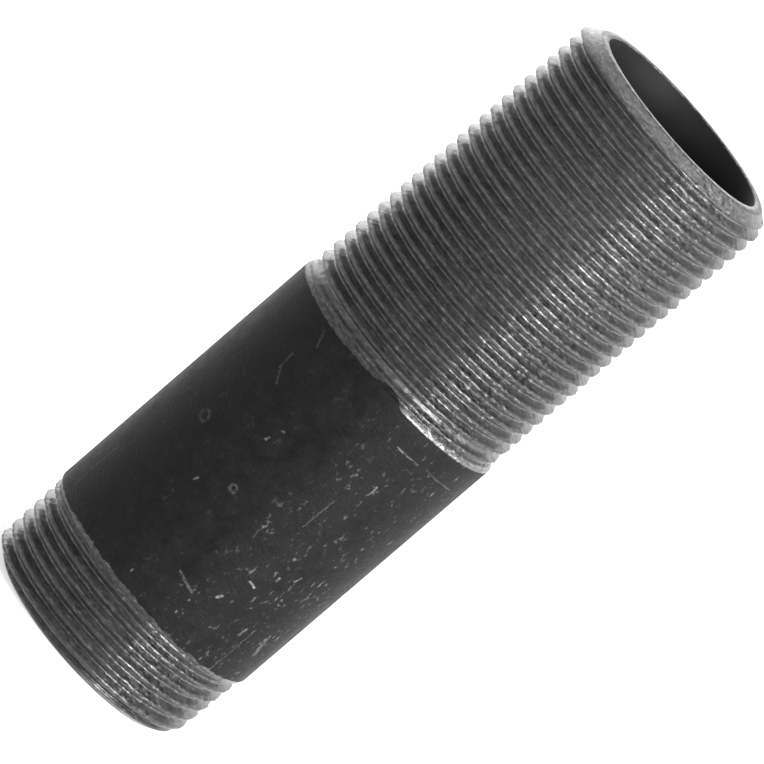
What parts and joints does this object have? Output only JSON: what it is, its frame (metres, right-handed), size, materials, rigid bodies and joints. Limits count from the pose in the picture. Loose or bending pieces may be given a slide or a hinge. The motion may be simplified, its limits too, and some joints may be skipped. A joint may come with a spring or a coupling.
{
  "type": "long thread nipple",
  "caption": "Straight black steel tube nipple with a long parallel thread on one end, a short taper thread on the other and an open bore.",
  "frame": {"origin": "centre of the end face of the short taper thread, which the nipple stands on", "axes": "+Z along the bore axis from the short taper thread to the long parallel thread; X and Y are any two directions across it"},
  "size_m": [0.0424, 0.0424, 0.124],
  "materials": {
    "black_steel": "black mill scale and varnish on the plain tube, bare machined steel on both threads and both end chamfers"
  },
  "bodies": {
    "root": {"nipple": "black_steel"}
  },
  "joints": []
}
